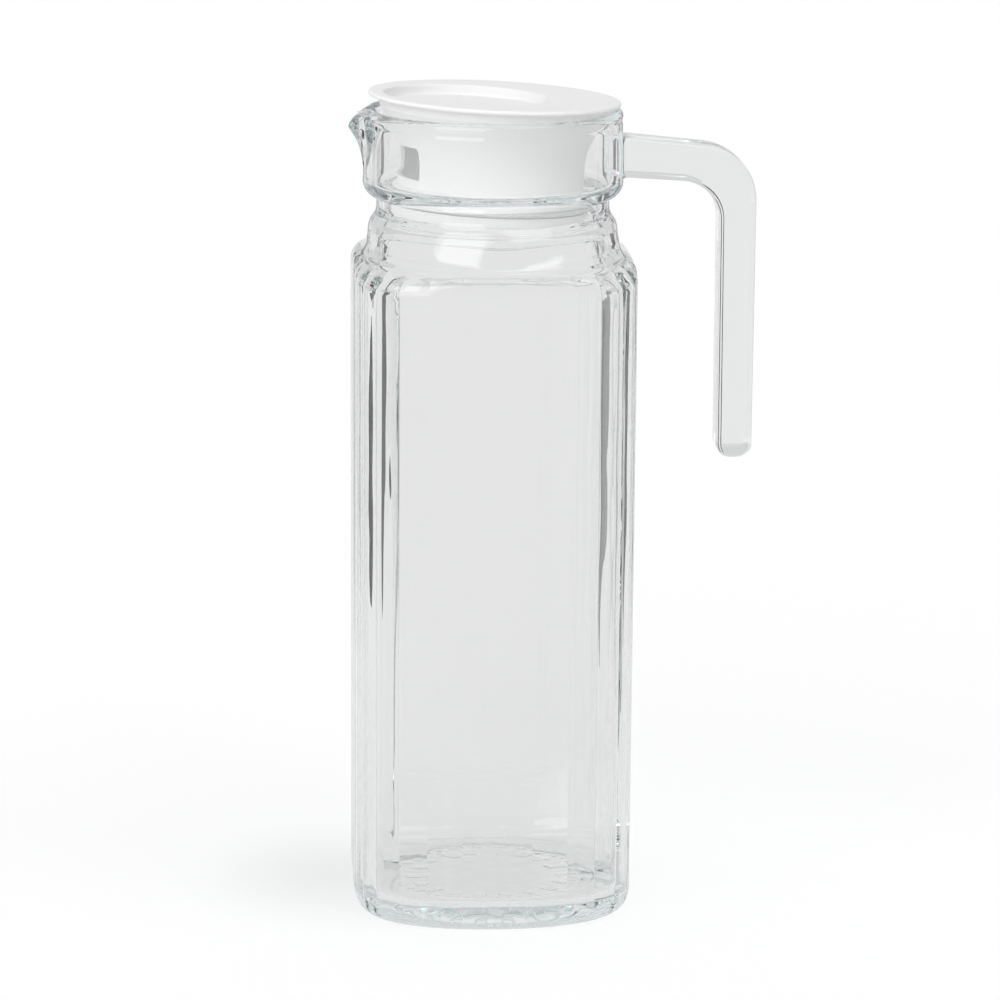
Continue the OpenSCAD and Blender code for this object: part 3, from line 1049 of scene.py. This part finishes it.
def softbox(nodes, links, view, toward, half_w, half_h, strength):
    """Light of one far rectangular soft box, by the direction that a ray leaves in."""
    forward = Vector(toward).normalized()
    side = forward.cross(Vector((0, 0, 1))).normalized()
    axes = {}
    for name, axis in (("forward", forward), ("side", side), ("up", side.cross(forward))):
        dot = nodes.new("ShaderNodeVectorMath")
        dot.operation = "DOT_PRODUCT"
        dot.inputs[1].default_value = axis
        links.new(view, dot.inputs[0])
        axes[name] = dot.outputs["Value"]
    share = math_node(nodes, links, "GREATER_THAN", axes["forward"], AHEAD)
    for name, half in (("side", half_w), ("up", half_h)):
        slope = math_node(nodes, links, "DIVIDE", axes[name], axes["forward"])
        size = math_node(nodes, links, "ABSOLUTE", slope)
        edge = nodes.new("ShaderNodeMapRange")
        edge.inputs["From Min"].default_value = half
        edge.inputs["From Max"].default_value = half * SOFTBOX_FADE
        links.new(size, edge.inputs["Value"])
        share = math_node(nodes, links, "MULTIPLY", share, edge.outputs["Result"])
    return math_node(nodes, links, "MULTIPLY", share, strength)


def add_world():
    """A white tent of even light with two soft boxes far away."""
    world = bpy.data.worlds.new("tent")
    bpy.context.scene.world = world
    world.use_nodes = True
    nodes = world.node_tree.nodes
    links = world.node_tree.links
    nodes.clear()
    output = nodes.new("ShaderNodeOutputWorld")
    light = nodes.new("ShaderNodeBackground")
    place = nodes.new("ShaderNodeTexCoord")
    total = TENT_LIGHT
    for toward, half_w, half_h, strength in SOFTBOXES:
        box = softbox(nodes, links, place.outputs["Generated"], toward, half_w, half_h, strength)
        total = math_node(nodes, links, "ADD", total, box)
    links.new(total, light.inputs["Strength"])
    links.new(light.outputs["Background"], output.inputs["Surface"])


# ---- Build ------------------------------------------------------------------------------------

LIGHT_BOUNCES = 32
DIFFUSE_BOUNCES = 16

add_camera()
add_world()
add_floor()
add_cards()

jug = build_jug()
handle = build_handle()
boolean(jug, handle, "UNION", SOFT_EDGE)
jug.data.materials.clear()
jug.data.materials.append(glass_material("pressed_glass"))
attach(jug, "jug")
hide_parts("glass_jug", "glass_handle")

lid = build_lid()
lid.data.materials.append(plastic_material("lid_plastic", LID_WHITE, LID_ROUGHNESS, LID_GRAIN))
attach(lid, "lid")
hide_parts("lid")

seal = build_seal()
seal.data.materials.append(plastic_material("seal_plastic", SEAL_WHITE, SEAL_ROUGHNESS, SEAL_GRAIN))
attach(seal, "seal")
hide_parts("lid_seal")

scene = bpy.context.scene
scene.view_settings.view_transform = "Standard"
scene.cycles.max_bounces = LIGHT_BOUNCES
scene.cycles.transmission_bounces = LIGHT_BOUNCES
scene.cycles.glossy_bounces = LIGHT_BOUNCES
scene.cycles.diffuse_bounces = DIFFUSE_BOUNCES
scene.cycles.transparent_max_bounces = LIGHT_BOUNCES
scene.cycles.caustics_reflective = False
scene.cycles.caustics_refractive = False
